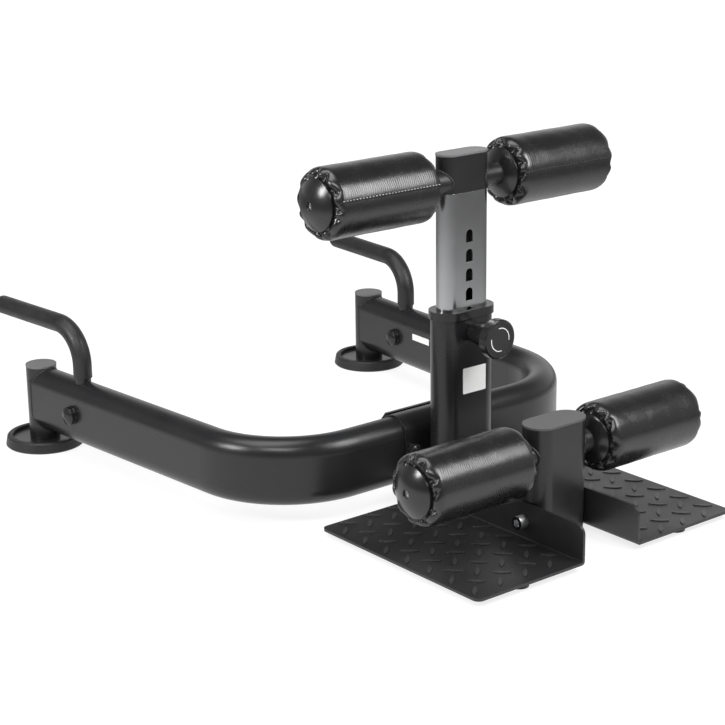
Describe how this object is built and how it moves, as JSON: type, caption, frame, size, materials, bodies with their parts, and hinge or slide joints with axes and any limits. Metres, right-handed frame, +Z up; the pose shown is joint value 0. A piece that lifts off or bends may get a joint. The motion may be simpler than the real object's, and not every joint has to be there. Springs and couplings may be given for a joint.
{
  "type": "sissy squat bench",
  "caption": "Low floor frame with tread plates, ankle rollers, calf rollers on a mast that slides and locks with a pull pin, and push-up handles on two rear arms.",
  "frame": {"origin": "on the floor, under the middle of the bench's box", "axes": "+Z up, +Y back along the arms, +X right along the rollers"},
  "size_m": [0.793, 1.0352, 0.526],
  "materials": {
    "black_frame": "satin powder coat",
    "black_tread": "satin powder coat on embossed plate",
    "zinc_steel": "bright zinc plate",
    "nickel": "bright nickel plate",
    "spring_steel": "plain spring steel",
    "chrome_mast": "satin chrome",
    "black_plastic": "moulded, satin",
    "gloss_cap": "moulded, glossy",
    "grey_plastic": "moulded, satin",
    "core_plastic": "extruded, plain",
    "black_rubber": "moulded, matte",
    "grip_rubber": "dipped, matte",
    "black_vinyl": "upholstery vinyl, soft gloss"
  },
  "bodies": {
    "base": {"left_arm": "black_frame", "right_arm": "black_frame", "centre_bracket": "black_frame", "clamp_plate": "black_frame", "bracket_bolts": "zinc_steel", "bracket_nuts": "zinc_steel", "bracket_bolt_covers": "black_plastic", "main_beam": "black_frame", "mast_sleeve": "black_frame", "mast_spacer": "black_frame", "mast_collar": "black_plastic", "lower_post": "black_frame", "lower_post_plug": "black_plastic", "lower_post_cap": "grey_plastic", "left_tread": "black_tread", "right_tread": "black_tread", "tread_bolt": "zinc_steel", "tread_nut": "zinc_steel", "tread_rubber_pads": "black_rubber", "left_end_post": "black_frame", "right_end_post": "black_frame", "left_end_cap": "grey_plastic", "right_end_cap": "grey_plastic", "left_foot_disc": "black_rubber", "right_foot_disc": "black_rubber", "left_disc_plate": "black_frame", "right_disc_plate": "black_frame", "left_handle": "black_frame", "right_handle": "black_frame", "left_grip": "grip_rubber", "right_grip": "grip_rubber", "handle_bolts": "zinc_steel", "handle_nuts": "zinc_steel", "handle_bolt_covers": "black_plastic", "lower_axle": "black_frame", "lower_inner_caps": "gloss_cap", "lower_outer_caps": "gloss_cap", "lower_cap_screws": "zinc_steel", "pin_boss": "black_frame", "pin_barrel": "nickel", "pin_spring": "spring_steel"},
    "mast": {"mast": "chrome_mast", "mast_head": "black_frame", "mast_head_cap": "grey_plastic", "mast_guide": "black_plastic", "upper_axles": "black_frame", "upper_inner_caps": "gloss_cap", "upper_outer_caps": "gloss_cap", "upper_cap_screws": "zinc_steel"},
    "upper_left_roller": {"upper_left_pad": "black_vinyl", "upper_left_core": "core_plastic"},
    "upper_right_roller": {"upper_right_pad": "black_vinyl", "upper_right_core": "core_plastic"},
    "lower_left_roller": {"lower_left_pad": "black_vinyl", "lower_left_core": "core_plastic"},
    "lower_right_roller": {"lower_right_pad": "black_vinyl", "lower_right_core": "core_plastic"},
    "plunger": {"lock_pin": "zinc_steel"},
    "knob": {"pull_knob": "black_plastic", "knob_disc": "black_plastic"}
  },
  "joints": [
    {"name": "mast_slide", "type": "slide", "parent": "base", "child": "mast", "axis": [0, 0, 1], "range_m": [-0.14, 0.028]},
    {"name": "upper_left_spin", "type": "hinge", "parent": "mast", "child": "upper_left_roller", "pos_m": [-0.1645, -0.21392, 0.476], "axis": [1, 0, 0], "continuous": true},
    {"name": "upper_right_spin", "type": "hinge", "parent": "mast", "child": "upper_right_roller", "pos_m": [0.1645, -0.21392, 0.476], "axis": [1, 0, 0], "continuous": true},
    {"name": "lower_left_spin", "type": "hinge", "parent": "base", "child": "lower_left_roller", "pos_m": [-0.162, -0.40432, 0.1285], "axis": [1, 0, 0], "continuous": true},
    {"name": "lower_right_spin", "type": "hinge", "parent": "base", "child": "lower_right_roller", "pos_m": [0.162, -0.40432, 0.1285], "axis": [1, 0, 0], "continuous": true},
    {"name": "pin_pull", "type": "slide", "parent": "base", "child": "plunger", "axis": [0, -1, 0], "range_m": [0, 0.01], "stiffness_N_per_m": 1500, "springref_m": -0.01, "deforming": ["pin_spring"]},
    {"name": "knob_turn", "type": "hinge", "parent": "plunger", "child": "knob", "pos_m": [0, -0.29592, 0.261], "axis": [0, -1, 0], "continuous": true}
  ]
}
